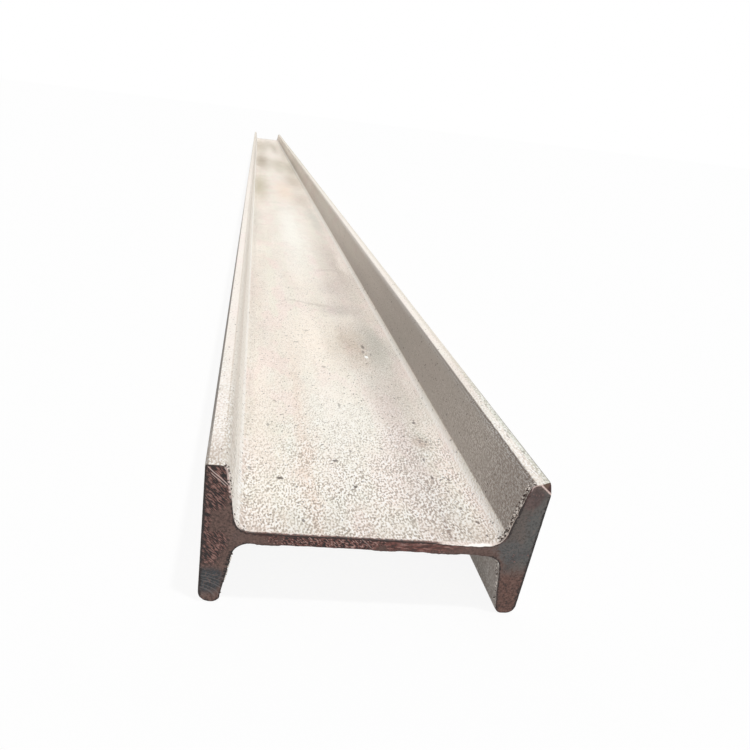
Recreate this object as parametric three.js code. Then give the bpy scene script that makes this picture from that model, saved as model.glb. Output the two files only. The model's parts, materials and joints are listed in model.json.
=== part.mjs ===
// A length of hot-rolled steel I-beam with tapered flanges.
//
// The beam lies unheld on its four flange edges' lower pair, with its web level. X runs
// across the section from flange to flange, Y along the beam and Z up. The origin is at
// the middle of the length, on the plane that the flange edges rest on. Sizes are in
// millimetres.

import * as THREE from 'three';

// Driving dimensions
const beamLength = 3000; // between the two sawn ends
const sectionDepth = 120; // over the outer faces of the flanges
const flangeWidth = 58;
const webThickness = 4.8;
const flangeThickness = 9.8; // half way out along the overhang
const flangeTaper = 1 / 6; // thickness lost for each millimetre further from the web
const rootRadius = 6; // fillet between web and flange
const toeRadius = 3; // rounding of the flange edge, on the inner side
const cornerRadius = 1; // slight rounding of the flange edge, on the outer side
const arcSteps = 10; // straight steps in each rounded corner

const rolledSteel = new THREE.MeshStandardMaterial({
  name: 'rolled_steel',
  color: 0xd8d1c5,
  roughness: 0.62,
  metalness: 0.35,
});

// Points on an arc about (x, y), from one angle to the other by the shorter way.
function arcPoints(x, y, radius, fromAngle, toAngle) {
  const clockwise = toAngle < fromAngle;
  const arc = new THREE.EllipseCurve(x, y, radius, radius, fromAngle, toAngle, clockwise);
  return arc.getPoints(arcSteps);
}

// One quarter of the section, from the outer face of a flange round its edge to the web.
// x is measured from the middle of the web towards the flange, y away from the web.
function quarterOutline() {
  const halfDepth = sectionDepth / 2;
  const halfWidth = flangeWidth / 2;
  const halfWeb = webThickness / 2;
  const taperAngle = Math.atan(flangeTaper);
  const gaugeHeight = (halfWidth + halfWeb) / 2; // where flangeThickness is measured
  const innerFace = (y) => halfDepth - flangeThickness + flangeTaper * (y - gaugeHeight);

  const cornerX = halfDepth - cornerRadius;
  const cornerY = halfWidth - cornerRadius;
  const corner = arcPoints(cornerX, cornerY, cornerRadius, 0, Math.PI / 2);

  // The toe is tangent to the flat edge and to the sloping inner face.
  const toeY = halfWidth - toeRadius;
  const toeX = innerFace(toeY) + toeRadius / Math.cos(taperAngle);
  const toe = arcPoints(toeX, toeY, toeRadius, Math.PI / 2, Math.PI - taperAngle);

  // The root fillet is tangent to the inner face and to the web.
  const rootY = halfWeb + rootRadius;
  const rootX = innerFace(rootY) - rootRadius / Math.cos(taperAngle);
  const root = arcPoints(rootX, rootY, rootRadius, -taperAngle, -Math.PI / 2);

  return [...corner, ...toe, ...root];
}

// The whole section: a quarter, its mirror image across the web, and both turned half round.
function sectionShape() {
  const rightQuarter = quarterOutline();
  const leftQuarter = rightQuarter.map((p) => new THREE.Vector2(-p.x, p.y)).reverse();
  const upperHalf = [...rightQuarter, ...leftQuarter];
  const lowerHalf = upperHalf.map((p) => new THREE.Vector2(-p.x, -p.y));
  return new THREE.Shape([...upperHalf, ...lowerHalf]);
}

function makeBeam() {
  const geometry = new THREE.ExtrudeGeometry(sectionShape(), {
    depth: beamLength,
    bevelEnabled: false,
  });
  const beam = new THREE.Mesh(geometry, rolledSteel);
  beam.name = 'i_beam';
  beam.rotation.x = Math.PI / 2; // the section stands up and the length lies along -Y
  beam.position.set(0, beamLength / 2, flangeWidth / 2);
  return beam;
}

const steelIBeam = new THREE.Group();
steelIBeam.name = 'steel_i_beam';
steelIBeam.add(makeBeam());

export default steelIBeam;
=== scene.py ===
# %% [markdown]
# # A length of rolled steel I-beam
#
# The real object is one bar. A billet is squeezed through shaped rolls until its section is
# an I with tapered flanges, and the bar is then sawn to length. It needs three looks: the
# pale, grainy skin that the rolls and the cleaning bath leave, the dark ends where the saw
# went through, and the torn crumbs of metal along the edges of each cut.
#
# The frame holds the bar at its real size. Everything here is worked out from it, in
# metres: X runs from flange to flange, Y along the bar, Z up.

import json
from math import atan, cos, pi, radians

import bpy
import bmesh
import numpy as np
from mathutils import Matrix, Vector
from mathutils.geometry import delaunay_2d_cdt


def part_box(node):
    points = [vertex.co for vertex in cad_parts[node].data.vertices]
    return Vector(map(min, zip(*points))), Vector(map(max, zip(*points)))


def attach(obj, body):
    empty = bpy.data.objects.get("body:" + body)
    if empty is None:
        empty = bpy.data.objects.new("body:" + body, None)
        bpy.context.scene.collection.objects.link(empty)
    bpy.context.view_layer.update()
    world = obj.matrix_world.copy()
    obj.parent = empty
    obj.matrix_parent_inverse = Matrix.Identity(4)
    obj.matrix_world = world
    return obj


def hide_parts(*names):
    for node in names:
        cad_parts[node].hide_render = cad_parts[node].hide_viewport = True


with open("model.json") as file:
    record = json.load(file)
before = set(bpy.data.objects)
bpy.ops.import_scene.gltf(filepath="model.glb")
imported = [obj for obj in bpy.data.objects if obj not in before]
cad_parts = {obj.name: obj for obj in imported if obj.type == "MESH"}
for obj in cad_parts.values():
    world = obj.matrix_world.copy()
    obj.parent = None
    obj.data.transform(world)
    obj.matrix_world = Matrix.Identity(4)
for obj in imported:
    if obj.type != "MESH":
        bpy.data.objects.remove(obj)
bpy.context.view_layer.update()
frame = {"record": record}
LOW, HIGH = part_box("i_beam")
print("frame:", [round(size, 4) for size in HIGH - LOW], "m")

# %% [markdown]
# ## The sizes of the section
#
# The depth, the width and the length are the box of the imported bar, and the web's
# thickness is the distance between the two faces that a plate could be bolted to. The
# taper and the radii come from the rolls, so they are given here as a mill's table does.

# %% Sizes
MM = 0.001
DEPTH, LENGTH, WIDTH = HIGH - LOW
MIDDLE_Z = (LOW.z + HIGH.z) / 2
face_height = {m["name"]: m["pos_m"][2] for m in frame["record"]["mounts"]}
WEB = face_height["web_face_upper"] - face_height["web_face_lower"]
FLANGE = 9.8 * MM  # thickness half way out along the overhang
TAPER = 1 / 6
ROOT_RADIUS = 6 * MM
TOE_RADIUS = 3 * MM
CORNER_RADIUS = 1 * MM
print(f"web {WEB / MM:.1f} mm thick")

# %% [markdown]
# ## The outline of the section
#
# One quarter of the outline is drawn and mirrored, as a template maker would do. Each
# rounded corner is an arc that meets its neighbours without a kink: the toe is tangent to
# the edge and to the sloping inner face, and the root fillet to that face and to the web.
# Straight runs get points too, so that the saw can tear them and the rolls can dent them.


# %% Outline helpers
def arc(x, z, radius, start, stop, steps):
    """Points on an arc about (x, z)."""
    return [
        (x + radius * np.cos(angle), z + radius * np.sin(angle))
        for angle in np.linspace(start, stop, steps + 1)
    ]


def filled_in(corners, longest):
    """The closed outline through these corners, with no gap between points over longest."""
    points = []
    for here, there in zip(corners, corners[1:] + corners[:1]):
        run = np.subtract(there, here)
        parts = max(1, int(np.ceil(np.hypot(*run) / longest - 1e-6)))
        points += [tuple(here + run * part / parts) for part in range(parts)]
    return np.array(points)


def quarter():
    """A quarter of the section, from the outer face round the flange edge to the web."""
    half_depth, half_width, half_web = DEPTH / 2, WIDTH / 2, WEB / 2
    slope = atan(TAPER)
    gauge = (half_width + half_web) / 2

    def inner_face(z):
        return half_depth - FLANGE + TAPER * (z - gauge)

    corner_x, corner_z = half_depth - CORNER_RADIUS, half_width - CORNER_RADIUS
    toe_z = half_width - TOE_RADIUS
    toe_x = inner_face(toe_z) + TOE_RADIUS / cos(slope)
    root_z = half_web + ROOT_RADIUS
    root_x = inner_face(root_z) - ROOT_RADIUS / cos(slope)
    return (
        arc(corner_x, corner_z, CORNER_RADIUS, 0, pi / 2, 4)
        + arc(toe_x, toe_z, TOE_RADIUS, pi / 2, pi - slope, 6)
        + arc(root_x, root_z, ROOT_RADIUS, -slope, -pi / 2, 9)
    )


# %% The whole outline
OUTLINE_STEP = 0.85 * MM
right = quarter()
left = [(-x, z) for x, z in reversed(right)]
upper = right + left
outline = filled_in(upper + [(-x, -z) for x, z in upper], OUTLINE_STEP)
ahead, behind = np.roll(outline, -1, 0), np.roll(outline, 1, 0)
run = ahead - behind
outward = np.stack([run[:, 1], -run[:, 0]], 1) / np.hypot(*run.T)[:, None]
around = np.concatenate([[0], np.cumsum(np.hypot(*(ahead - outline).T))])
print(f"{len(outline)} points round {around[-1] / MM:.0f} mm of outline")

# %% [markdown]
# ## The sheet that a saw cut shows
#
# The flat face of a cut could be one big polygon, but then the saw's marks would have no
# points to move. So the outline is filled with a lattice of points and all of them are
# joined by Delaunay triangles, which keep the outline's own edges. This thin sheet is the
# section, and the next step draws it out into a bar.

# %% Fill the outline with points
ROW_GAP = 0.87  # between rows, for a spacing of 1, so that the triangles are almost equal


def is_inside(points):
    """Whether a line from each point to the right leaves the outline an odd number of times."""
    x, z = points.T
    inside = np.zeros(len(points), bool)
    for (x1, z1), (x2, z2) in zip(outline, ahead):
        if z1 != z2:
            crosses = (z1 > z) != (z2 > z)
            inside ^= crosses & (x < x1 + (z - z1) / (z2 - z1) * (x2 - x1))
    return inside


def room_to_edge(points):
    """How far each point is from the outline."""
    start, side = outline[:, None], (ahead - outline)[:, None]
    share = ((points - start) * side).sum(2) / (side**2).sum(2)
    foot = start + side * share.clip(0, 1)[..., None]
    return np.hypot(*(points - foot).transpose(2, 0, 1)).min(0)


def lattice(spacing):
    """Points in staggered rows, inside the outline and clear of it."""
    rows = np.arange(-WIDTH / 2, WIDTH / 2, spacing * ROW_GAP)
    points = [
        (x + (number % 2) * spacing / 2, z)
        for number, z in enumerate(rows)
        for x in np.arange(-DEPTH / 2, DEPTH / 2, spacing)
    ]
    points = np.array(points)
    points = points[is_inside(points)]
    return points[room_to_edge(points) > spacing / 2]


# %% Join the points
INSIDE_ONLY = 1  # leaves out triangles beyond the outline
SAME_POINT = 1e-4  # in mm


def section_sheet():
    """A mesh of the section at y = 0, whose first points are the outline in order."""
    count = len(outline)
    places = np.concatenate([outline, lattice(OUTLINE_STEP)])
    edges = [(n, (n + 1) % count) for n in range(count)]
    points = [Vector(place / MM) for place in places]
    found = delaunay_2d_cdt(points, edges, [], INSIDE_ONLY, SAME_POINT)
    number = [origin[0] for origin in found[3]]
    triangles = [[number[corner] for corner in face] for face in found[2]]
    sheet = bpy.data.meshes.new("section_sheet")
    sheet.from_pydata([(x, 0, z + MIDDLE_Z) for x, z in places], [], triangles)
    sides = np.zeros((len(places), 3), np.float32)
    sides[:count, 0], sides[:count, 2] = outward.T
    sheet.attributes.new("outward", "FLOAT_VECTOR", "POINT")
    sheet.attributes["outward"].data.foreach_set("vector", sides.ravel())
    sheet.attributes.new("edge_room", "FLOAT", "POINT")
    sheet.attributes["edge_room"].data.foreach_set("value", room_to_edge(places) / MM)
    return sheet


sheet = section_sheet()
sheet_area = sum(face.area for face in sheet.polygons)
print(f"sheet: {len(sheet.polygons)} triangles, {sheet_area / MM**2:.0f} mm2")

# %% [markdown]
# ## Writing nodes as sums
#
# Both the shape and the finishes are node trees. `Wire` wraps one output of a node, so that
# a sum such as `1 - mask * 0.5` adds the Math nodes by itself, and `Board.node` adds any
# other node from its type, its settings and what goes into its sockets.


# %% Wire
def joins(operation, reflected=False):
    """A method that adds one Math node; the reflected form has the wire second."""
    def method(wire, other):
        pair = (other, wire) if reflected else (wire, other)
        return wire.board.maths(operation, *pair)

    return method


class Wire:
    """An output of a node, which Python's operators join to new Math nodes."""

    def __init__(self, board, socket):
        self.board, self.socket = board, socket

    __add__ = __radd__ = joins("ADD")
    __mul__ = __rmul__ = joins("MULTIPLY")
    __sub__, __rsub__ = joins("SUBTRACT"), joins("SUBTRACT", True)
    __truediv__, __rtruediv__ = joins("DIVIDE"), joins("DIVIDE", True)
    __pow__, __rpow__ = joins("POWER"), joins("POWER", True)

    def __abs__(self):
        return self.board.maths("ABSOLUTE", self)

    def step(self, low, high):
        """0 at low, 1 at high and a smooth rise between; high may be the lower one."""
        inputs = {0: self, 1: min(low, high), 2: max(low, high)}
        inputs |= {3: float(low > high), 4: float(low < high)}
        return self.board.node("ShaderNodeMapRange", {"interpolation_type": "SMOOTHSTEP"}, inputs)

    def between(self, low, high, blur):
        """1 between low and high, with a smooth change of this half width at both."""
        return self.step(low - blur, low + blur) * self.step(high + blur, high - blur)


# %% Board
class Board:
    """Adds nodes to one tree."""

    def __init__(self, tree):
        self.tree = tree

    def node(self, kind, settings=None, inputs=None, out=0):
        """Adds a node and returns one of its outputs, by number or name."""
        made = self.tree.nodes.new(kind)
        for name, value in (settings or {}).items():
            setattr(made, name, value)
        for key, value in (inputs or {}).items():
            self.fill(self.pick(made.inputs, key), value)
        return Wire(self, self.pick(made.outputs, out))

    def pick(self, sockets, key):
        if isinstance(key, int):
            return sockets[key]
        return next(s for s in sockets if key in (s.identifier, s.name) and s.enabled)

    def fill(self, socket, value):
        if isinstance(value, Wire):
            self.tree.links.new(value.socket, socket)
        else:
            socket.default_value = value

    def maths(self, operation, *values):
        return self.node("ShaderNodeMath", {"operation": operation}, dict(enumerate(values)))

    def most(self, first, *others):
        """The largest of several numbers."""
        for other in others:
            first = self.maths("MAXIMUM", first, other)
        return first

    def vector(self, operation, *values, out=0):
        settings = {"operation": operation}
        return self.node("ShaderNodeVectorMath", settings, dict(enumerate(values)), out)

    def scaled(self, vector, factor):
        settings = {"operation": "SCALE"}
        return self.node("ShaderNodeVectorMath", settings, {0: vector, "Scale": factor})

    def parts(self, vector):
        """The three numbers of a vector."""
        split = self.node("ShaderNodeSeparateXYZ", inputs={0: vector})
        return [Wire(self, socket) for socket in split.socket.node.outputs]

    def joined(self, x, y, z):
        return self.node("ShaderNodeCombineXYZ", inputs={0: x, 1: y, 2: z})

    def noise(self, place, scale=1.0, detail=2.0, rough=0.5):
        if isinstance(place, tuple):
            place = self.joined(*place)
        inputs = {"Vector": place, "Scale": scale, "Detail": detail, "Roughness": rough}
        return self.node("ShaderNodeTexNoise", {"noise_dimensions": "3D"}, inputs)

    def send_out(self, wire, kind):
        """Joins a wire to the tree's output node."""
        exit_node = self.tree.nodes.new(kind)
        self.tree.links.new(wire.socket, exit_node.inputs[0])


# %% [markdown]
# ## Drawing the section out into a bar
#
# A bar is a section repeated along a line, so Geometry Nodes make it from the sheet. A grid
# has one column for each point of the outline and one row for each station along the bar.
# Each grid point is moved to its outline point and its station. Stations crowd together
# towards the ends, where the saw tore the metal, and spread out in between: each gap is a
# tenth longer than the one before. The sheet closes both ends, and the points that meet are
# merged.


# %% A tree with named inputs
def new_tree(name, inputs):
    """The board of a new tree with a geometry output and these inputs."""
    tree = bpy.data.node_groups.new(name, "GeometryNodeTree")
    tree.interface.new_socket("Geometry", in_out="OUTPUT", socket_type="NodeSocketGeometry")
    for label, socket_type, value in inputs:
        made = tree.interface.new_socket(label, in_out="INPUT", socket_type=socket_type)
        if value is not None:
            made.default_value = value
    board = Board(tree)
    entry = tree.nodes.new("NodeGroupInput")
    board.inputs = {s.name: Wire(board, s) for s in entry.outputs if s.name}
    return board


def close_tree(board, geometry, materials):
    """Realizes what the tree made, paints it and sends it out. Later materials win."""
    geometry = board.node("GeometryNodeRealizeInstances", inputs={0: geometry})
    for selection, material in materials:
        inputs = {"Geometry": geometry, "Selection": selection, "Material": material}
        geometry = board.node("GeometryNodeSetMaterial", inputs=inputs)
    board.send_out(geometry, "NodeGroupOutput")
    return board.tree


# %% Joining, moving and marking geometry
def joined_geometry(board, *parts):
    node = board.tree.nodes.new("GeometryNodeJoinGeometry")
    for part in reversed(parts):
        board.tree.links.new(part.socket, node.inputs[0])
    return Wire(board, node.outputs[0])


def attribute(board, name, data_type):
    settings = {"data_type": data_type}
    return board.node("GeometryNodeInputNamedAttribute", settings, {"Name": name})


def moved(board, geometry, **target):
    return board.node("GeometryNodeSetPosition", inputs={"Geometry": geometry, **target})


def stored(board, geometry, name, domain, value, data_type="FLOAT_VECTOR"):
    settings = {"data_type": data_type, "domain": domain}
    inputs = {"Geometry": geometry, "Name": name, "Value": value}
    return board.node("GeometryNodeStoreNamedAttribute", settings, inputs)


# %% The walls of the bar
def bar_walls(board):
    """The long faces: a grid wrapped round the outline, its corners keeping their column."""
    given = board.inputs
    columns, half_rows = given["Outline Points"], given["Half Stations"]
    size = {"Size X": columns, "Size Y": half_rows * 2}
    size |= {"Vertices X": columns + 1, "Vertices Y": half_rows * 2 + 1}
    grid = board.node("GeometryNodeMeshGrid", inputs=size)
    place = board.node("GeometryNodeInputPosition")
    x, row, _ = board.parts(place)
    column = x + columns / 2
    number = board.maths("FLOORED_MODULO", board.maths("ROUND", column), columns)
    from_end = half_rows - abs(row)
    reach = (given["Growth"] ** from_end - 1) / (given["Growth"] ** half_rows - 1)
    y = board.maths("SIGN", row) * (1 - reach) * given["Length"] / 2

    def sampled(value):
        settings = {"data_type": "FLOAT_VECTOR", "domain": "POINT"}
        inputs = {"Geometry": given["Section"], "Value": value, "Index": number}
        return board.node("GeometryNodeSampleIndex", settings, inputs)

    side = sampled(attribute(board, "outward", "FLOAT_VECTOR"))
    section_x, _, section_z = board.parts(sampled(place))
    walls = stored(board, grid, "column", "CORNER", column, "FLOAT")
    walls = stored(board, walls, "outward", "POINT", side)
    walls = moved(board, walls, Position=board.joined(section_x, y, section_z))
    return board.node("GeometryNodeFlipFaces", inputs={0: walls})


# %% The two cut faces
def cut_faces(board):
    """The sheet at each end, facing away from the bar."""
    given = board.inputs
    sawn = stored(board, given["Section"], "sawn", "FACE", True, "BOOLEAN")
    near, far = (
        moved(board, sawn, Offset=board.joined(0, given["Length"] * side, 0))
        for side in (-0.5, 0.5)
    )
    return near, board.node("GeometryNodeFlipFaces", inputs={0: far})


# %% [markdown]
# Then the tree wears the bar. `Roll Press` lets the long faces sink by a fraction of a
# millimetre, as real rolls leave them. `Saw Depth` sinks the cut faces unevenly. `Burr`
# drags the rim of each cut inwards and outwards, and `Chip` breaks one corner off. The two
# lower outer corners of the near cut are knocked a little rounder than the bar's own.
#
# The wear is worked out in millimetres, because that is how a saw mark is measured. Two
# rules keep the bar closed and inside its true size: every point at one place gets the
# same move, whichever face it came from, and a move never leads out of the bar's box.


# %% How far the saw sank each point of a cut
CHIP_POINT = (55.6, 57.6)  # a point of the broken corner's edge, x and z in mm
CHIP_NORMAL = (0.617, 0.787)  # which way the broken corner lies from it
CHIP_START = -CHIP_POINT[1] * CHIP_NORMAL[1] - CHIP_POINT[0] * CHIP_NORMAL[0]


def past_chip(x, z):
    """How far a point is past the line where one corner broke off, in mm."""
    return x * CHIP_NORMAL[0] + z * CHIP_NORMAL[1] + CHIP_START


def saw_depth(board, x, z, end):
    """The saw leaves slanting grooves: deep changes across them, slow ones along."""
    across, along = (x + z) * 0.3, (x - z) * 0.05
    grooves = board.noise((across, along, end * 5))
    lumps = board.noise((x, end * 50, z), 0.3)
    return (grooves * 0.6 + lumps * 0.4) * board.inputs["Saw Depth"]


# %% Knocked corners
KNOCKED_LEFT = 5.0  # the radius that a lower outer corner seems to have at the cut, in mm
KNOCKED_RIGHT = 4.2
KNOCK = 0.65 * MM  # how much of both is done
CORNER_CUT = 0.6  # what the bar's own corner radius took off already, in mm
ARC_GAP = 0.414  # how far a square corner stands out past an arc of radius 1


def rounding(board, towards_corner, radius):
    """How far to press a lower outer corner in, so that it looks about this round, in mm."""
    past = board.most(towards_corner - (DEPTH / MM / 2 - radius), 0)
    return (past / (radius - CORNER_CUT)) ** 2 * (radius - CORNER_RADIUS / MM) * ARC_GAP


# %% Torn rims
CHANNEL_SIDE = 52.9  # the channels end here, from the middle of the web, in mm
CHANNEL_LOW, CHANNEL_HIGH = 1.4, 56.9


def torn_rim(board, x, z, end, near):
    """How far the rim stands out in mm, and where it is torn and where pressed over."""
    # Torn metal stands up only inside the channels, mostly where the blade came out.
    channel = abs(x).between(-1, CHANNEL_SIDE, 0.2)
    channel = channel * z.between(CHANNEL_LOW, CHANNEL_HIGH, 0.2)
    exit_side = x.step(45.5, 47.5) * z.step(32.5, 35) * near
    patches = board.noise((x, end * 9, z), 0.12).step(0.48, 0.62)
    burr = board.most(exit_side, patches * 0.55) * channel
    crumbs = board.noise((x, end * 30, z), 0.9, 3)
    lip = x.between(23, 44, 3) * z.step(29.6, 30.6) * near
    wavy = board.noise((x * 0.35, 0, 3), 1)
    raised = burr * (crumbs * 2.2 - 0.5) - lip * wavy * 1.9 - (1 - burr) * crumbs * 0.3
    return raised, burr, lip


# %% Wear of the long faces and the cuts
RIM_REACH = 1.3  # how far from a cut the torn rim reaches, in mm
SHOULDER = 7  # how far from a cut the other wear reaches, in mm


def worn(board, geometry):
    """Moves the points: pressed long faces, torn rims, uneven cuts and broken corners."""
    given = board.inputs
    place = board.node("GeometryNodeInputPosition")
    x, y, z = board.parts(board.scaled(place, 1 / MM))
    end = board.maths("SIGN", y)
    near = board.maths("LESS_THAN", y, 0)
    from_cut = given["Length"] * (0.5 / MM) - abs(y)
    rim = from_cut.step(RIM_REACH, 0)
    shoulder = from_cut.step(SHOULDER, 0)
    raised, burr, lip = torn_rim(board, x, z, end, near)

    left = rounding(board, 0 - x - z, KNOCKED_LEFT)
    right = rounding(board, x - z, KNOCKED_RIGHT)
    knock = board.scaled(board.joined(left - right, 0, left + right), near * shoulder * KNOCK)
    press = board.noise((x * 0.06, y * 0.012, z * 0.06))
    move = raised * rim * given["Burr"] - press * given["Roll Press"]

    ragged = board.noise((x, y, z), 0.8) - 0.5
    chip = board.most(past_chip(x, z) + ragged * 0.5, 0) * near
    sink = saw_depth(board, x, z, end) * (1 - board.most(burr, lip) * rim)
    sink = (sink + chip * given["Chip"]) * shoulder
    side = attribute(board, "outward", "FLOAT_VECTOR")
    sunk = board.joined(0, end * sink * -MM, 0)
    offset = board.vector("ADD", board.scaled(side, move * MM), sunk)
    return moved(board, geometry, Offset=board.vector("ADD", offset, knock))


# %% The whole tree
HALF_STATIONS = 64
GROWTH = 1.1  # each gap between stations is this many times the one nearer the end
WELD = 0.02 * MM  # points closer than this are merged


def bar_tree():
    """The tree that turns the sheet into the worn bar."""
    inputs = [
        ("Section", "NodeSocketGeometry", None),
        ("Length", "NodeSocketFloat", LENGTH),
        ("Outline Points", "NodeSocketInt", len(outline)),
        ("Half Stations", "NodeSocketInt", HALF_STATIONS),
        ("Growth", "NodeSocketFloat", GROWTH),
        ("Saw Depth", "NodeSocketFloat", 0.5),
        ("Burr", "NodeSocketFloat", 0.7),
        ("Chip", "NodeSocketFloat", 0.8),
        ("Roll Press", "NodeSocketFloat", 0.12),
        ("Skin", "NodeSocketMaterial", None),
        ("Cut", "NodeSocketMaterial", None),
    ]
    board = new_tree("rolled_bar", inputs)
    near, far = cut_faces(board)
    whole = joined_geometry(board, bar_walls(board), near, far)
    merge = {"Geometry": whole, "Distance": WELD}
    whole = worn(board, board.node("GeometryNodeMergeByDistance", inputs=merge))
    sawn = attribute(board, "sawn", "BOOLEAN")
    given = board.inputs
    return close_tree(board, whole, [(True, given["Skin"]), (sawn, given["Cut"])])


rolled_bar_tree = bar_tree()
print("the tree has", len(rolled_bar_tree.nodes), "nodes")

# %% [markdown]
# ## Materials
#
# Every pattern is placed in millimetres on the bar itself, so a mark keeps its real size. A
# finish is built up as a painter would: a ground colour, then coats, each with a mask that
# says where it goes and how thick. Colours are written as on a paint chart, from 0 to 255,
# and turned into the linear numbers that a socket wants.


# %% Colour
def colour(red, green, blue):
    """A paint chart's colour as Blender's sockets want it."""
    def linear(value):
        value /= 255
        return value / 12.92 if value <= 0.04045 else ((value + 0.055) / 1.055) ** 2.4

    return (linear(red), linear(green), linear(blue), 1.0)


# %% A board for finishes
class Finish(Board):
    """A board that also mixes colours."""

    def blend(self, factor, first, second, mode="MIX"):
        """Two colours mixed; a fixed one is given as on a paint chart."""
        first, second = (c if isinstance(c, Wire) else colour(*c) for c in (first, second))
        settings = {"data_type": "RGBA", "blend_type": mode}
        inputs = {"Factor_Float": factor, "A_Color": first, "B_Color": second}
        return self.node("ShaderNodeMix", settings, inputs, "Result_Color")

    def coated(self, tone, *coats):
        """A colour under several coats, each a mask and a colour, the last one on top."""
        for mask, over in coats:
            tone = self.blend(mask, tone, over)
        return tone

    def oval(self, place, centre, reach):
        """1 at the centre of a flat oval of this reach, falling smoothly to 0 at its rim."""
        off = self.vector("SUBTRACT", place, (*centre, 0))
        off = self.vector("DIVIDE", off, (*reach, 1))
        return self.vector("LENGTH", off, out="Value").step(1, 0)


# %% Material helpers
def new_material(name):
    """A new material, its board and the place in mm."""
    material = bpy.data.materials.new(name)
    material.use_nodes = True
    board = Finish(material.node_tree)
    place = board.node("ShaderNodeTexCoord", out="Object")
    return material, board, board.scaled(place, 1 / MM)


def plug_in(material, board, metallic, tone, roughness, relief=None):
    """Plugs a colour, a roughness and a relief (strength, mm, height) into the shader."""
    nodes = material.node_tree.nodes
    sockets = next(n for n in nodes if n.type == "BSDF_PRINCIPLED").inputs
    sockets["Metallic"].default_value = metallic
    board.fill(sockets["Base Color"], tone)
    board.fill(sockets["Roughness"], roughness)
    if relief:
        strength, distance, height = relief
        bump = {"Strength": strength, "Distance": distance * MM, "Height": height}
        board.fill(sockets["Normal"], board.node("ShaderNodeBump", inputs=bump))
    print(f"{material.name}: {len(nodes)} nodes")


# %% [markdown]
# ### The rolled skin
#
# Hot rolling leaves grey scale, and pickling and blasting take it off. What stays is a pale,
# warm, matt metal with a fine worm-like grain, a few dark pits, and long faint streaks where
# the rolls rubbed. Each cell below adds one of these to the colour, from the widest to the
# finest.
#
# First come the distances that the masks are made from, in millimetres.

# %% Places on the skin
skin, board, place = new_material("rolled_skin")
x, y, z = board.parts(place)
side = abs(x)
height = abs(z - MIDDLE_Z / MM)
from_near = y + LENGTH / MM / 2
from_cut = LENGTH / MM / 2 - abs(y)
on_web = z.step(29, 30) * side.step(53, 48)

# %% [markdown]
# Streaks run a metre or more along the bar and change within a centimetre across it. Clouds
# are rounder: the bath worked unevenly there. The thin lines lie across the bar, where it
# rested on the cooling bed.

# %% Streaks, clouds and bed lines
streaks = board.noise((x * 0.09, y * 0.0025, z * 0.09), 1, 3)
clouds = board.noise((x * 0.03, y * 0.009, z * 0.03), 1, 3)
tints = board.noise((x * 0.08, y * 0.03, z * 0.08 + 9), 1, 2)
lines = board.noise((x * 0.012, y * 0.045, z * 0.4), 1, 4, 0.7)
tone = board.coated(
    board.blend(streaks.step(0.36, 0.66), (246, 236, 225), (242, 235, 221)),
    (clouds.step(0.42, 0.72) * 0.5, (226, 212, 200)),
    (tints.step(0.50, 0.64) * (from_near.step(220, 60) * 0.4 + 0.2), (234, 234, 222)),
    (tints.step(0.48, 0.36) * 0.6, (244, 226, 218)),
    (lines.step(0.60, 0.68) * 0.25, (190, 174, 160)),
)

# %% [markdown]
# The web's upper face has stains of its own: pink where the bath dried, grey patches that
# darken it, and two brown marks with a scabby middle. Each is an oval with a ragged rim.

# %% Stains
STAINS = [
    # across, from the near end, reach across, reach along (mm), strength, colour
    (-38, 50, 14, 110, 0.55, (238, 232, 218)),
    (-19.5, 60, 6, 170, 0.50, (234, 202, 184)),
    (27, 50, 15, 100, 0.58, (212, 194, 190)),
    (28.6, 8, 1.3, 20, 0.80, (156, 136, 128)),
    (0, 90, 36, 110, 0.60, (255, 250, 240)),
    (-6, 205, 24, 90, 0.90, (255, 244, 230)),
    (-24, 190, 14, 90, 0.20, (232, 214, 202)),
    (34, 130, 24, 90, 0.60, (198, 188, 180)),
    (20, 200, 24, 60, 0.60, (178, 158, 136)),
    (38, 208, 18, 80, 0.75, (174, 173, 163)),
    (9, 215, 8, 60, 0.35, (255, 246, 232)),
    (37, 74, 7, 11, 0.45, (176, 138, 120)),
    (-38, 214, 12, 70, 0.35, (206, 202, 192)),
    (0, 286, 34, 6, 0.50, (196, 184, 172)),
    (24, 276, 26, 30, 0.60, (190, 180, 172)),
    (22, 330, 16, 50, 0.45, (200, 188, 180)),
    (-4, 350, 14, 90, 0.60, (255, 246, 232)),
    (-44, 330, 16, 200, 0.50, (216, 206, 194)),
    (28, 398, 26, 6, 0.35, (182, 166, 156)),
    (36, 400, 26, 260, 0.75, (200, 186, 176)),
    (-5, 514, 16, 7, 0.35, (190, 176, 164)),
    (-44, 640, 14, 240, 0.60, (210, 206, 194)),
    (0, 600, 26, 330, 1.00, (255, 252, 242)),
    (46, 460, 10, 120, 0.60, (250, 240, 230)),
    (38, 700, 14, 200, 0.60, (200, 198, 188)),
    (6, 1000, 30, 240, 0.60, (248, 224, 202)),
    (-40, 1040, 30, 330, 0.90, (190, 180, 154)),
    (32, 900, 24, 160, 0.50, (202, 186, 168)),
    (34, 1180, 30, 240, 0.70, (196, 180, 158)),
    (42, 1450, 20, 260, 0.70, (184, 174, 154)),
    (-32, 1640, 34, 420, 0.95, (170, 156, 134)),
    (16, 1560, 50, 340, 0.70, (190, 180, 156)),
    (-40, 2300, 30, 700, 0.70, (184, 172, 150)),
    (42, 2100, 24, 800, 0.45, (178, 168, 148)),
    (18, 2240, 18, 400, 0.55, (172, 162, 140)),
    (-20, 2240, 18, 400, 0.45, (176, 164, 142)),
    (0, 2500, 60, 480, 0.60, (186, 174, 152)),
]
drift = board.noise((x * 0.06, y * 0.02, 7), 1, 3) - 0.5
spot_place = board.joined(x + drift * 16, from_near * (1 + drift * 0.15), 0)
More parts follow.
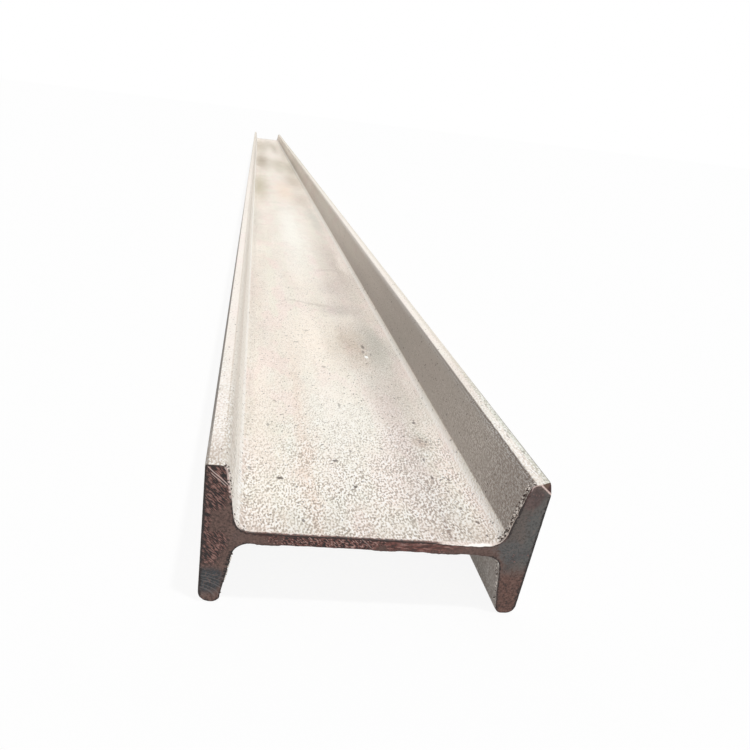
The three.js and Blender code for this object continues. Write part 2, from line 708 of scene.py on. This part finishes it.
for across, along, reach_x, reach_y, strength, tint in STAINS:
    mask = board.oval(spot_place, (across, along), (reach_x, reach_y)) * on_web
    tone = board.blend(mask * strength, tone, tint)
tone = board.coated(
    tone,
    (from_near.step(24, 0) * on_web * 0.35, (196, 180, 168)),
    (x.between(-45.5, -42.5, 1) * on_web * 0.25, (206, 198, 188)),
)

# %% [markdown]
# Blasting strikes the inside of a flange at a slant, and one flange shields the other. So
# The inner face on one side is painted grey as shade, in place of the flange's own shadow,
# down to a sharp line where the fillet starts.

# %% Which face is which
to_right = x.step(-1, 1)
inner_face = side.between(48.6, 53.9, 0.2) * height.step(6.5, 7.5)
shaded_face = inner_face * to_right
sunlit_face = inner_face * (1 - to_right)
left_toe = x.between(-54.5, -50.6, 0.15) * height.step(14, 16)

# %% Insides of the flanges
upper_half = height.step(8, 20)
# Painted shade on the right inner face, weaker further from the near cut.
painted_shade = 0.94 - from_near.step(200, 700) * 0.3 - from_near.step(700, 1000) * 0.12
painted_shade = painted_shade - upper_half * from_near.step(160, 420) * 0.2
painted_shade = painted_shade - upper_half * from_near.step(900, 1900) * 0.35
# Painted light on the upper part of both fillets, weaker on the right.
fillet_light = side.step(46.4, 47.6) * side.step(49.0, 48.5) * height.step(10.5, 8.5)
dim_fillet = x.between(45.4, 48.4, 0.8) * height.step(9, 8) * from_near.step(450, 1400)
tone = board.coated(
    tone,
    (fillet_light * (0.9 - to_right * 0.25), (255, 252, 246)),
    (shaded_face * painted_shade, (170, 162, 155)),
    (dim_fillet * 0.25, (130, 120, 106)),
    (shaded_face * from_near.step(50, 0) * 0.5, (124, 112, 106)),
    # Painted light on the left inner face.
    (sunlit_face * 0.95, (255, 252, 245)),
    (left_toe * (0.35 + x.step(-52.0, -53.0) * 0.2), (206, 194, 180)),
    (sunlit_face * from_near.step(90, 10) * height.step(12, 16) * 0.3, (200, 186, 168)),
)

# %% Tips and edges of the flanges
tips = height.step(28.2, 28.8) * (1 - left_toe)
toe_line = x.between(52.3, 53.8, 0.2) * height.step(20, 25)
toe_line = toe_line * (x.step(52.9, 53.3) * 0.6 + 0.4) * from_near.step(280, 20) * 0.9
dull_tips = from_near.step(300, 1900) * 0.60 + x.step(56, 58.5) * 0.55
dull_tips = dull_tips + from_near.between(50, 110, 40) * to_right * 0.25
cool_side = x.step(56.2, 58.2) * from_near.step(120, 40)
nicks = board.noise((x * 0.7, y * 0.5, 3), 1, 2).step(0.56, 0.64)
nicks = nicks * x.between(55.8, 58.6, 0.4) * from_near.step(140, 50)
handled = from_near.step(26, 2) * (1.2 - to_right * 0.8)
tone = board.coated(
    tone,
    (tips * 0.5, (255, 248, 241)),
    (toe_line, (92, 80, 72)),
    (tips * dull_tips, (210, 202, 184)),
    (tips * cool_side * 0.55, (204, 212, 200)),
    (tips * nicks * 0.55, (118, 112, 100)),
    (tips * handled * 0.5, (176, 156, 138)),
)

# %% [markdown]
# The grain is what a blast leaves: dents about a millimetre wide, drawn out along the bar by
# a last light pass through the rolls. It is coarsest next to the cuts, where the bar was
# handled and blasted twice.

# %% Grain
WEB_TOP = 31.4  # height of the web's upper face, in mm
READING_GAP = 0.42  # how far apart two readings of the grain are, in mm


def grain_at(shift):
    """How high the skin stands, at each point moved by a fraction of a millimetre."""
    a, b = x + shift, y * 0.62 - shift
    rise = (z - WEB_TOP) * (0.6 + to_right * 0.9) + WEB_TOP * 1.5
    turned = board.joined((a + b) * 0.7, (a - b) * 0.7, rise + a * 0.3 + shift)
    return board.noise(turned, 1.35, 0.8, 0.5)


grain = grain_at(0)
slope = grain - grain_at(READING_GAP)
patchy = board.noise(place, 0.09, 3).step(0.30, 0.62) * 0.45 + 0.55
depth = (from_cut.step(130, 35) * 0.62 + 0.38) * patchy
smoother = x.between(-52, -28, 10) * from_near.between(48, 100, 18)
depth = depth * (1 - smoother * 0.4)

# %% Painted shade in the dents, painted highlight on the ridges
fillets = side.between(46.2, 50.5, 0.9) * height.step(14, 10)
round_toe = side.step(57, 56) * height.step(20, 23) * from_near.step(40, 90)
spared = [(shaded_face, 0.35), (tips, 0.6), (fillets, 0.6), (round_toe, 0.55), (left_toe, 0.55)]
spared = board.most(*[mask * share for mask, share in spared])
# Two readings of the grain a little apart paint one side of each bump darker and the other lighter,
# as light falling across the relief would.
dent_shade = board.most(slope.step(-0.01, -0.17), grain.step(0.40, 0.28)) * depth * (1 - spared)
ridge_highlight = slope.step(-0.02, 0.16) * depth * (1 - shaded_face * 0.6) * (1 - round_toe * 0.5)
tone = board.blend(dent_shade * 0.8, tone, board.blend(0.85, tone, (134, 120, 108)))
tone = board.blend(ridge_highlight * 0.9, tone, board.blend(0.8, tone, (255, 254, 250), "SCREEN"))

# %% Painted shade on the rounded outer corners of the tips
edge_shade = x.step(-58.75, -59.05) * (from_near.step(800, 150) * 0.7 + 0.15)
edge_shade = edge_shade * (from_near.step(0, 40) * 0.35 + 0.65)
edge_shade = edge_shade + x.step(58.9, 59.3) * from_near.step(160, 10) * 0.7
tone = board.blend(edge_shade * height.step(27.4, 28.0), tone, (88, 82, 76))

# %% [markdown]
# Pits are small holes that scale was rolled into. Most are scattered by noise. The web has
# some that stand out, listed one by one, and two scabby groups inside its brown stains.

# %% Pits
PITS = [
    # across, from the near end, reach across, reach along (mm), strength
    (-31.7, 36, 2.0, 1.5, 1.0),
    (-7.4, 52, 1.9, 1.6, 1.0),
    (-1.4, 33, 1.5, 1.5, 1.0),
    (37, 93, 1.2, 2.2, 0.9),
    (33, 57, 0.9, 1.8, 0.8),
    (33, 43, 1.0, 1.8, 0.9),
    (40, 42.5, 0.9, 1.5, 0.8),
    (0.6, 61, 0.9, 1.8, 0.6),
    (15, 65, 1.2, 1.2, 0.7),
    (-24, 9, 0.9, 1.4, 0.9),
    (43, 13.5, 0.9, 1.4, 0.9),
    (39, 22, 1.0, 1.6, 0.7),
    (-44, 42, 0.9, 1.8, 0.7),
    (-36, 81, 1.0, 2.2, 0.6),
    (1, 107, 0.9, 4.0, 0.6),
    (-2, 157, 2.2, 1.8, 0.45),
    (-16, 196, 3.0, 1.8, 0.40),
    (-22, 206, 1.5, 2.0, 0.35),
    (-8, 220, 3.0, 2.2, 0.35),
    (27.4, 196, 1.6, 5.0, 0.75),
    (26.2, 187, 1.4, 4.0, 0.60),
    (30.5, 184, 1.0, 3.0, 0.55),
]
small = board.noise((x * 0.9, y * 0.8, z * 0.9), 1.0, 1)
large = board.noise((x * 0.38, y * 0.45, z * 0.38 + 40), 1.0, 1)
pit = board.most(small.step(0.70, 0.73), large.step(0.75, 0.77))
wobble = (small - 0.5) * 1.6
pit_place = board.joined(x + wobble, from_near - wobble, 0)
for across, along, reach_x, reach_y, strength in PITS:
    hole = board.oval(pit_place, (across, along), (reach_x, reach_y))
    pit = board.most(pit, hole.step(0.1, 0.45) * on_web * strength)
scab = board.oval(board.joined(x, from_near, 0), (37, 74), (6, 9))
pit = board.most(pit, (small + scab * 0.2).step(0.66, 0.72) * on_web * 0.6)
speck = board.oval(pit_place, (27.0, 178.5), (1.8, 3.4)) * on_web
tone = board.coated(tone, (pit * 0.8, (72, 58, 50)), (speck.step(0.1, 0.5), (255, 255, 252)))

# %% [markdown]
# Along part of the near cut the saw pressed the web's edge down into a thin bright lip.

# %% The bright lip beside the cut
hem = from_near.step(2.0, 0.8) * on_web
lip_reach = 0.4 + x.step(33, 38) + (board.noise((x * 0.3, 0, 3)) - 0.5) * 4
lip = (from_near - lip_reach).step(0, -0.6) * x.between(27, 43.5, 0.8) * on_web
# A dark, blotchy strip along the web's edge at the near cut.
dark_rim = (from_near + board.noise((x * 0.6, 0, 9), 1, 3) * 2.4).step(2.5, 1.9)
dark_rim = dark_rim * x.between(-47, 25, 1.5) * on_web
blotchy = board.noise((x * 0.9, y * 0.9, 5), 1, 1).step(0.44, 0.54)
sliver = x.between(-53.2, -51.2, 0.2) * from_near.step(3.2, 2.4) * z.step(46, 48)
tone = board.coated(
    tone,
    (hem * 0.6, (232, 216, 208)),
    (lip * 0.9, (255, 253, 248)),
    (dark_rim * 0.9, board.blend(blotchy, (40, 26, 22), (104, 64, 54))),
    (sliver * 0.9, (255, 248, 240)),
)

# %% [markdown]
# Blasted steel is matt, a little smoother on its ridges. The grain and the pits also go
# into the bump, at a tenth of a millimetre.

# %% Finish of the skin
plug_in(skin, board, 0.12, tone, 0.66 - ridge_highlight * 0.1, (0.35, 0.12, grain - pit))

# %% [markdown]
# ### The saw cut
#
# A hot saw leaves the cut brown with fresh oxide. In places its teeth scored the metal, and
# the scores all slant the same way. In places the blade smeared it smooth and blue-grey. The
# rim is painted darker, as shade along the edge, brown in patches, and where one corner
# broke off the metal is dark red.

# %% Brown oxide
cut, board, place = new_material("saw_cut")
x, y, z = board.parts(place)
side = abs(x)
section_place = board.joined(x, z, 0)
near = y.step(1, -1)
cloudy = board.noise((x, y, z), 0.12, 4, 0.6)
fine = board.noise(place, 1.1, 3, 0.7)
mottled = (cloudy - 0.5) * 1.6 + (fine - 0.5) * 1.2
tone = board.blend(cloudy.step(0.38, 0.62), (103, 79, 71), (116, 91, 82))

# %% Smeared blue-grey
SMEARED = [
    # middle (x, z) and reach (mm), how ragged, the mask's range, colour
    ((58, 38), (22, 34), 0.5, (0.30, 0.55), (100, 92, 87)),
    ((60, 36), (11, 30), 0.6, (0.25, 0.70), (96, 97, 95)),
    ((52, 29), (10, 8), 0.9, (0.20, 0.60), (93, 93, 92)),
    ((53, 52), (7, 8), 0.8, (0.20, 0.60), (98, 80, 77)),
    ((-57.5, 10.5), (12, 9.5), 1.5, (0.10, 0.80), (52, 60, 65)),
]
for centre, reach, raggedness, (low, high), tint in SMEARED:
    mask = board.oval(section_place, centre, reach)
    tone = board.blend((mask + mottled * raggedness).step(low, high), tone, tint)

# %% Where the teeth scored
SCORED = [
    # middle (x, z) and reach (mm)
    ((-57, 49), (9, 17)),
    ((-60, 34), (5.5, 24)),
    ((-57, 24), (10, 12.5)),
    ((-16, 29), (32, 20)),
    ((16, 31), (26, 9)),
]
ovals = [board.oval(section_place, centre, reach) for centre, reach in SCORED]
scored = (board.most(0, *ovals) + mottled).step(0.2, 0.55)

# %% The teeth's strokes
on_web_cut = x.between(-46, 46, 2)
lean = on_web_cut * 0.15
across = x * (0.7 - lean) + z * (0.7 + lean)
along = x * (0.7 + lean) - z * (0.7 - lean)
slanting = board.noise((across * 2.2, along * (0.5 + lean * 2), y), 1, 1.5)
level = board.noise((x * 0.3, z * 1.6, y), 1, 1)
turned = x.step(-4, 14) * x.step(50, 45)
strokes = slanting * (1 - turned) + level * turned
sharpness = scored * (1 - turned * 0.6)
tone = board.coated(
    tone,
    (scored * 0.8, (102, 58, 50)),
    (scored * x.between(-46, 46, 4) * 0.25, (156, 80, 68)),
    (scored * x.between(-44, -18, 4) * 0.4, (96, 40, 30)),
    (strokes.step(0.495, 0.45) * sharpness, (26, 12, 11)),
    (strokes.step(0.54, 0.60) * sharpness * 0.8, (162, 122, 113)),
    (strokes.step(0.59, 0.65) * sharpness * on_web_cut * 0.7, (202, 172, 164)),
)

# %% Fine oxide
outer_strip = (x + (fine - 0.5) * 5).step(-57.5, -59.5) * z.step(16, 20)
redder = z.step(20, 16) * x.step(44, 48)
speckled = 0.45 + redder * 0.35 + x.step(-44, -50) * 0.2
tone = board.coated(
    tone,
    (outer_strip * 0.6, (36, 22, 21)),
    (redder * 0.6, (100, 62, 50)),
    (fine.step(0.50, 0.40) * speckled, (52, 38, 34)),
    (fine.step(0.52, 0.62) * speckled * 0.6, (138, 108, 96)),
    (strokes.step(0.475, 0.425) * sharpness * 0.75, (18, 8, 8)),
)

# %% Arcs that the blade left on one foot
from_turn = board.vector("LENGTH", board.joined(x + 62, z * 1.4 - 1, 0), out="Value")
arcs = board.noise((from_turn * 1.1, 5, 0), 1, 1).step(0.50, 0.57)
arcs = arcs * board.oval(section_place, (-56, 9), (9, 9)).step(0, 0.4)
tone = board.blend(arcs * 0.45, tone, (128, 122, 120))

# %% The dark rim, painted shade along the edge
rim = board.node("ShaderNodeAttribute", {"attribute_name": "edge_room"}, out="Fac")
notched = board.noise(place, 0.8, 1) - 0.5
ragged_rim = z.step(30, 31) * x.between(-46, 44, 4) * 0.4 + side.step(57, 59) * 0.3
# Painted shade along the rim of the cut, brown in patches.
dark_rim = (rim + notched * 2.4 - ragged_rim).step(0.9, 0.3)
brown_rim = x.between(-46, 54, 4) * z.step(28, 30)
brown_rim = brown_rim * board.noise((x * 0.35, 0, 9), 1, 1).step(0.40, 0.56)
faint_rim = x.between(-44, 44, 3) * z.step(29, 28)
# A painted shadow just below the web's top edge, under the lip.
top_edge_shadow = (rim + notched * 0.8).step(0.8, 0.4) * x.between(-40, 43, 3) * z.step(29, 30)
tone = board.coated(
    tone,
    (dark_rim * (0.9 - faint_rim * 0.5), board.blend(brown_rim * 0.6, (32, 22, 20), (88, 50, 42))),
    (top_edge_shadow * 0.7, (36, 20, 20)),
)

# %% [markdown]
# The broken corner has a bright edge. Two long scratches cross the other tip and a short one
# crosses the web, slanting as the teeth ran.

# %% The broken corner
chip = past_chip(x, z) + (fine - 0.5) * 0.6
broken = board.blend((x - z).step(1.2, 2.6), (96, 72, 58), (56, 20, 18))
tone = board.blend(chip.step(0.1, 0.4) * near, tone, broken)
bright = chip.between(-0.35, 0.15, 0.2)

# %% Scratches
SCRATCHES = [
    # from x, to x, x * 0.68 + z * 0.733 along the scratch (mm), strength
    (-58.9, -51.8, 1.73, 0.9),
    (-57.6, -52.6, 0.9, 0.7),
    (-3.6, 0.2, 20.35, 0.35),
]
SCRATCH_HALF = 0.14  # half a scratch's width, in mm
slant = x * 0.68 + z * 0.733 + board.maths("SINE", x * 1.3) * 0.05
for start, stop, offset, strength in SCRATCHES:
    scratch = slant.between(offset - SCRATCH_HALF, offset + SCRATCH_HALF, 0.12)
    bright = board.most(bright, scratch * x.between(start, stop, 0.4) * strength)

# %% Slivers and notches along the rim
torn_off = rim.step(0.9, 0.5) * x.between(-53.5, -50, 0.3) * z.step(44, 47)
torn_off = torn_off * board.noise((0, 0, z * 0.4), 1, 1).step(0.46, 0.52)
notches = rim.step(1.5, 1.1) * x.between(-54.5, -48.5, 0.3) * z.between(11, 27, 1)
notches = notches * board.noise((3, 0, z * 0.6), 1, 1).step(0.48, 0.54)
toe_lip = rim.step(0.7, 0.35) * x.between(52.3, 56.0, 0.3) * z.step(54.4, 55.2)
bright = board.most(bright, torn_off, toe_lip * 0.8)
tone = board.coated(tone, (notches * near * 0.9, (14, 8, 8)), (bright * near, (232, 206, 198)))

# %% Finish of the cut
height = strokes * scored + fine * 0.3
plug_in(cut, board, 0.12, tone, 0.62 - scored * 0.1, (0.5, 0.25, height))

# %% [markdown]
# ### The crumbs
#
# A crumb is a bit of steel that the blade tore out. Some of its sides are fresh and bright,
# the others burnt dark.

# %% Crumb metal
crumb_metal, board, place = new_material("crumb_metal")
fresh = board.noise(place, 0.9, 2, 0.5)
tone = board.blend(fresh.step(0.45, 0.53), (62, 46, 41), (246, 238, 230))
tone = board.blend(board.noise(place, 4, 2) * 0.4, tone, (120, 104, 94))
plug_in(crumb_metal, board, 0.2, tone, 0.7 - fresh.step(0.44, 0.54) * 0.25)

# %% [markdown]
# ## From tree to mesh
#
# The tree runs as a modifier on the sheet. Its result is copied into a plain mesh and the
# modifier goes, so that an exporter finds nothing left to work out. The long faces are
# shaded smooth, and any edge sharper than the fillets keeps its corner. Steel stock has no
# hole in its skin, so the mesh is tested for open edges before it takes the plain bar's place.


# %% Run the tree
def shown(name, data):
    """A new object in the scene."""
    made = bpy.data.objects.new(name, data)
    bpy.context.scene.collection.objects.link(made)
    return made


def run_tree(name, tree, mesh, values):
    """Runs a tree on a mesh and returns the result as a plain object, modifier gone."""
    source = shown(name + "_source", mesh)
    modifier = source.modifiers.new(name, "NODES")
    modifier.node_group = tree
    for socket in tree.interface.items_tree:
        if socket.in_out == "INPUT" and socket.name in values:
            modifier[socket.identifier] = values[socket.name]
    graph = bpy.context.evaluated_depsgraph_get()
    result = bpy.data.meshes.new_from_object(source.evaluated_get(graph))
    bpy.data.objects.remove(source)
    used = [material for material in result.materials if material]
    numbers = [used.index(result.materials[f.material_index]) for f in result.polygons]
    result.materials.clear()
    for material in used:
        result.materials.append(material)
    result.polygons.foreach_set("material_index", numbers)
    result.name = name
    return shown(name, result)


# %% The worn bar
SHARP_ANGLE = radians(38)
bar = run_tree("rolled_bar", rolled_bar_tree, sheet, {"Skin": skin, "Cut": cut})
bar.data.shade_smooth()
bar.data.set_sharp_from_angle(angle=SHARP_ANGLE)
print("bar:", len(bar.data.polygons), "faces, materials", [m.name for m in bar.data.materials])

# %% Check that the bar is closed
test = bmesh.new()
test.from_mesh(bar.data)
open_edges = sum(not edge.is_manifold for edge in test.edges)
volume = test.calc_volume(signed=True)
test.free()
print(f"open edges: {open_edges}, volume {volume * 1e6:.0f} cm3 of {sheet_area * LENGTH * 1e6:.0f}")

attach(bar, "root")
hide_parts("i_beam")

# %% [markdown]
# ## The crumbs along the torn edges
#
# Where the blade left the metal it tore crumbs out, which still hang on the edge as a
# glittering seam, thickest inside one flange. A strip of faces follows the edge of each cut.
# The tree scatters points on it, as many as its `tearing` asks for, and puts a small lumpy
# ball on each. The strip lies a little inside the bar's end, so no crumb sticks out of it.

# %% Where the edges are torn
TORN = {
    # from x, to x, from z, to z (mm), how badly; -1 is the near cut, 1 the far one
    -1: [
        (-52.6, -44, 1.5, 56.5, 0.05),
        (44, 52.6, 1.5, 56.5, 0.05),
        (45, 52.6, 33, 56.5, 1.0),
        (44, 52.6, 14, 27, 0.25),
        (-52.6, -48, 10, 23, 0.85),
        (-53.6, -49, 48, 60, 0.8),
        (52.6, 55.5, 56, 60, 0.8),
    ],
    1: [(-52.6, 52.6, 1.5, 56.5, 0.10)],
}


def tearing_at(end):
    """How badly each point of the outline is torn at one end."""
    x, z = outline.T / MM
    z = z + MIDDLE_Z / MM
    tearing = np.zeros(len(x))
    for left, right, low, high, badly in TORN[end]:
        tearing[(x > left) & (x < right) & (z > low) & (z < high)] = badly
    return tearing


# %% The strip along the edges of the cuts
STRIP_ROWS = [(0.6, 0.45), (2.9, 0.0)]  # how far from the cut, and how far out, in mm
WORST = 0.9  # the strip stands out only where the tearing is above this
TOP_GAP = 0.7 * MM  # how far it stays below the tips of the flanges


def torn_strip():
    """Faces along the inner edges of both cuts, with how badly each part is torn."""
    places, faces, tearing = [], [], []
    count = len(outline)
    for end in TORN:
        first, torn = len(places), tearing_at(end)
        for reach, rise in STRIP_ROWS:
            y = end * (LENGTH / 2 - reach * MM)
            points = outline + outward * (torn > WORST)[:, None] * rise * MM
            points[:, 1] = np.minimum(points[:, 1], MIDDLE_Z - TOP_GAP)
            places += [(px, y, pz + MIDDLE_Z) for px, pz in points]
        for n in range(count):
            after = (n + 1) % count
            faces.append([first + n, first + after, first + count + after, first + count + n])
        tearing += list(torn)
    strip = bpy.data.meshes.new("torn_strip")
    strip.from_pydata(places, [], faces)
    strip.attributes.new("tearing", "FLOAT", "FACE")
    strip.attributes["tearing"].data.foreach_set("value", tearing)
    return strip


# %% The crumbs' tree
def crumb_tree():
    """Scatters lumpy balls over the strip."""
    inputs = [
        ("Strip", "NodeSocketGeometry", None),
        ("Crumbs per mm2", "NodeSocketFloat", 2.0),
        ("Smallest", "NodeSocketFloat", 0.24 * MM),
        ("Largest", "NodeSocketFloat", 0.56 * MM),
        ("Lumpiness", "NodeSocketFloat", 0.35 * MM),
        ("Seed", "NodeSocketInt", 7),
        ("Metal", "NodeSocketMaterial", None),
    ]
    board = new_tree("saw_crumbs", inputs)
    given = board.inputs
    density = given["Crumbs per mm2"] * attribute(board, "tearing", "FLOAT") / MM**2
    scatter = {"Mesh": given["Strip"], "Density": density, "Seed": given["Seed"]}
    points = board.node("GeometryNodeDistributePointsOnFaces", inputs=scatter)

    def drawn(low, high, seed):
        inputs = {"Min": low, "Max": high, "Seed": given["Seed"] + seed}
        return board.node("FunctionNodeRandomValue", {"data_type": "FLOAT_VECTOR"}, inputs)

    small, large = given["Smallest"], given["Largest"]
    size = drawn(board.joined(small, small, small), board.joined(large, large, large), 1)
    turn = drawn((0, 0, 0), (2 * pi, 2 * pi, 2 * pi), 2)
    ball = board.node("GeometryNodeMeshIcoSphere", inputs={"Radius": 1, "Subdivisions": 2})
    placed = {"Points": points, "Instance": ball, "Rotation": turn, "Scale": size}
    crumbs = board.node("GeometryNodeInstanceOnPoints", inputs=placed)
    crumbs = board.node("GeometryNodeRealizeInstances", inputs={0: crumbs})
    place = board.scaled(board.node("GeometryNodeInputPosition"), 1 / MM)
    lump = (board.noise(place, 2.2, 1) - 0.6) * given["Lumpiness"]
    offset = board.scaled(board.node("GeometryNodeInputNormal"), lump)
    crumbs = moved(board, crumbs, Offset=offset)
    return close_tree(board, crumbs, [(True, given["Metal"])])


# %% The crumbs in place
crumbs = run_tree("saw_crumbs", crumb_tree(), torn_strip(), {"Metal": crumb_metal})
print("crumbs:", len(crumbs.data.polygons), "faces")
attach(crumbs, "root")

# %% [markdown]
# ## A layout for baking
#
# An exporter bakes the finish into a square picture. Unrolled whole, three metres of bar
# would get a third of a pixel for each millimetre, and the grain would be lost. So the skin
# is laid out in three parts: the 0.3 m next to each cut, which are seen closely, get over a
# pixel for each millimetre, and the long middle gets the rest. The cuts get the most.
#
# The part of the picture that each takes is given in pixels of a sheet 1024 wide.


# %% Corners of the bar as arrays
def gathered(items, name, kind, width=1):
    """One property of all these items, as an array."""
    values = np.empty(len(items) * width, kind)
    items.foreach_get(name, values)
    return values


mesh = bar.data
sizes = gathered(mesh.polygons, "loop_total", np.int32)
face_of = np.repeat(np.arange(len(sizes)), sizes)
places = gathered(mesh.vertices, "co", np.float32, 3).reshape(-1, 3)
x, y, z = places[gathered(mesh.loops, "vertex_index", np.int32)].T / MM
column = gathered(mesh.attributes["column"].data, "value", np.float32)
sawn = gathered(mesh.attributes["sawn"].data, "value", bool)
middle_y = (np.bincount(face_of, y) / sizes)[face_of]
from_end = LENGTH / MM / 2 - np.abs(y)

# %% Lay the parts out
SHEET = 1024
END_PART = 300  # how much of the bar an end part takes, in mm
CUT_TALL, CUT_WIDE = 58, 120  # the size of a cut, in mm
is_cut = sawn[face_of]
is_end = ~is_cut & (np.abs(middle_y) > LENGTH / MM / 2 - END_PART)
is_middle = ~is_end & ~is_cut
turn = around[np.round(column).astype(int)] / around[-1]
away = from_end / from_end[is_end].max()
up_cut, along_cut = z / CUT_TALL, x / CUT_WIDE + 0.5
PARTS = [
    # which corners, across and up the sheet (each from 0 to 1), left, low, width, height
    (is_end & (middle_y < 0), away, turn, 4, 420, 408, 600),
    (is_end & (middle_y > 0), away, turn, 420, 420, 408, 600),
    (is_middle, y / np.abs(y[is_middle]).max() / 2 + 0.5, turn, 4, 4, 1016, 404),
    (is_cut & (middle_y < 0), up_cut, along_cut, 840, 420, 174, 360),
    (is_cut & (middle_y > 0), up_cut, along_cut, 840, 790, 111, 230),
]
layout = np.zeros((len(mesh.loops), 2), np.float32)
for chosen, across, up, left, low, width, tall in PARTS:
    layout[chosen, 0] = (left + across[chosen] * width) / SHEET
    layout[chosen, 1] = (low + up[chosen] * tall) / SHEET
mesh.uv_layers.new(name="OFBake").data.foreach_set("uv", layout.ravel())
mesh.attributes.remove(mesh.attributes["column"])
print("layout:", layout.min(0), layout.max(0), "end parts", from_end[is_end].max().round(), "mm")

# %% [markdown]
# ## Floor, light and camera
#
# Stock is shown on a pale floor that runs into a white background. A floor that is only lit
# comes out grey, so most of what the camera sees of it is its own glow, as on a light table.
# For diffuse light it is plain paint, so the glow doesn't brighten the bar, and the bar's
# shadow stays.

# %% Floor
FLOOR_HALF = 60.0  # half its width, in metres
signs = [(-1, -1), (1, -1), (1, 1), (-1, 1)]
corners = [(x * FLOOR_HALF, y * FLOOR_HALF, 0) for x, y in signs]
floor_mesh = bpy.data.meshes.new("floor")
floor_mesh.from_pydata(corners, [], [(0, 1, 2, 3)])
floor = shown("floor", floor_mesh)


# %% Paint of the floor
FLOOR_PAINT = (0.9, 0.9, 0.9, 1)
WHITE = (1, 1, 1, 1)
GLOW_SHARE = 0.9  # how much of what the camera sees of the floor is glow


def seen_directly(board):
    """1 for rays from the camera and for mirrored or see-through views, 0 for light."""
    rays = board.tree.nodes.new("ShaderNodeLightPath").outputs
    names = ("Is Camera Ray", "Is Glossy Ray", "Is Transmission Ray")
    return board.most(*[Wire(board, rays[name]) for name in names])


material = bpy.data.materials.new("pale_floor")
material.use_nodes = True
material.node_tree.nodes.clear()
board = Board(material.node_tree)
paint = board.node("ShaderNodeBsdfDiffuse", inputs={"Color": FLOOR_PAINT})
glow = board.node("ShaderNodeEmission", inputs={"Color": WHITE, "Strength": 1.0})
share = seen_directly(board) * GLOW_SHARE
mixed = board.node("ShaderNodeMixShader", inputs={0: share, 1: paint, 2: glow})
board.send_out(mixed, "ShaderNodeOutputMaterial")
floor_mesh.materials.append(material)
print(f"floor: {2 * FLOOR_HALF:.0f} m wide, {GLOW_SHARE:.0%} glow")

# %% [markdown]
# A white surround lights the bar softly from all sides, at half strength, and is full white
# only where it is looked at. One sun above, turned a little to the side, gives the flanges a
# lit side and a shaded one. A sun's place doesn't matter, only the way it points.

# %% Light
KEY = 0.5
AMBIENT = 0.5
world = bpy.data.worlds.new("studio")
bpy.context.scene.world = world
world.use_nodes = True
world.node_tree.nodes.clear()
board = Board(world.node_tree)
strength = seen_directly(board) * (1 - AMBIENT) + AMBIENT
sky = board.node("ShaderNodeBackground", inputs={"Color": WHITE, "Strength": strength})
board.send_out(sky, "ShaderNodeOutputWorld")

lamp = bpy.data.lights.new("overhead", "SUN")
lamp.energy = KEY * pi
lamp.angle = radians(3)
overhead = shown("overhead", lamp)
overhead.location = (0.5, 0.0, 2.5)
overhead.rotation_euler = (radians(6), radians(10.3), 0)
print(f"light: sun {lamp.energy:.2f}, surround {AMBIENT}")

# %% [markdown]
# The camera stands just before the near cut and a hand's width above the bar, and looks
# along it. So the cut fills the foreground and the rest runs away into the distance.

# %% Camera
camera_data = bpy.data.cameras.new("camera")
camera_data.lens = 29.461
camera_data.sensor_width = 36
camera_data.shift_x = 0.1
camera_data.clip_start = 0.01
camera = shown("camera", camera_data)
camera.location = (-0.05151, -1.67299, 0.16595)
camera.rotation_euler = [radians(a) for a in (66.8486, -6.3412, -3.5585)]
bpy.context.scene.camera = camera
bpy.context.scene.view_settings.view_transform = "Standard"
print(f"camera: {camera_data.lens:.3f} mm, {LOW.y - camera.location.y:.3f} m before the near cut")
